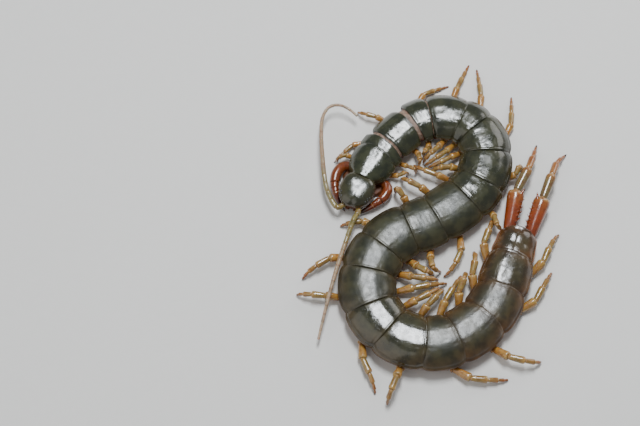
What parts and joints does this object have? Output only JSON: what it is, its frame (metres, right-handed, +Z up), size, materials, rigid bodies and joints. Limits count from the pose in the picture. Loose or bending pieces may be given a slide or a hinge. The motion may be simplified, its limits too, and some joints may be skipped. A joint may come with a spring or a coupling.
{
  "type": "giant centipede",
  "caption": "Life-size giant centipede curled at rest on the floor, with dark jointed plates, amber legs, long feelers and stout red last legs.",
  "frame": {"origin": "middle of the whole animal's bounding box, on the floor it rests on", "axes": "+Z up, +Y along the longer side of the curled body with the last legs trailing that way, +X towards the side of the last legs"},
  "size_m": [0.0854, 0.1154, 0.0092],
  "materials": {
    "tergite": "glossy dark olive-brown cuticle",
    "head": "glossy dark olive cuticle",
    "forcipule": "glossy red-brown cuticle",
    "antenna": "matt tan cuticle, glossy at the root",
    "leg": "glossy amber cuticle",
    "ultimate_leg": "glossy red cuticle"
  },
  "bodies": {
    "root": {"antenna_left": "antenna", "antenna_right": "antenna", "forcipule_left": "forcipule", "forcipule_right": "forcipule", "head": "head", "leg_01_left": "leg", "leg_01_right": "leg", "leg_02_left": "leg", "leg_02_right": "leg", "leg_03_left": "leg", "leg_03_right": "leg", "leg_04_left": "leg", "leg_04_right": "leg", "leg_05_left": "leg", "leg_05_right": "leg", "leg_06_left": "leg", "leg_06_right": "leg", "leg_07_left": "leg", "leg_07_right": "leg", "leg_08_left": "leg", "leg_08_right": "leg", "leg_09_left": "leg", "leg_09_right": "leg", "leg_10_left": "leg", "leg_10_right": "leg", "leg_11_left": "leg", "leg_11_right": "leg", "leg_12_left": "leg", "leg_12_right": "leg", "leg_13_left": "leg", "leg_13_right": "leg", "leg_14_left": "leg", "leg_14_right": "leg", "leg_15_left": "leg", "leg_15_right": "leg", "leg_16_left": "leg", "leg_16_right": "leg", "leg_17_left": "leg", "leg_17_right": "leg", "leg_18_left": "leg", "leg_18_right": "leg", "leg_19_left": "leg", "leg_19_right": "leg", "leg_20_left": "leg", "leg_20_right": "leg", "trunk_01": "tergite", "trunk_02_03": "tergite", "trunk_04_05": "tergite", "trunk_06_07": "tergite", "trunk_08_09": "tergite", "trunk_10_11": "tergite", "trunk_12_13": "tergite", "trunk_14_15": "tergite", "trunk_16_17": "tergite", "trunk_18_19": "tergite", "trunk_20": "tergite", "trunk_21": "tergite", "ultimate_leg_left": "ultimate_leg", "ultimate_leg_right": "ultimate_leg"}
  },
  "joints": []
}
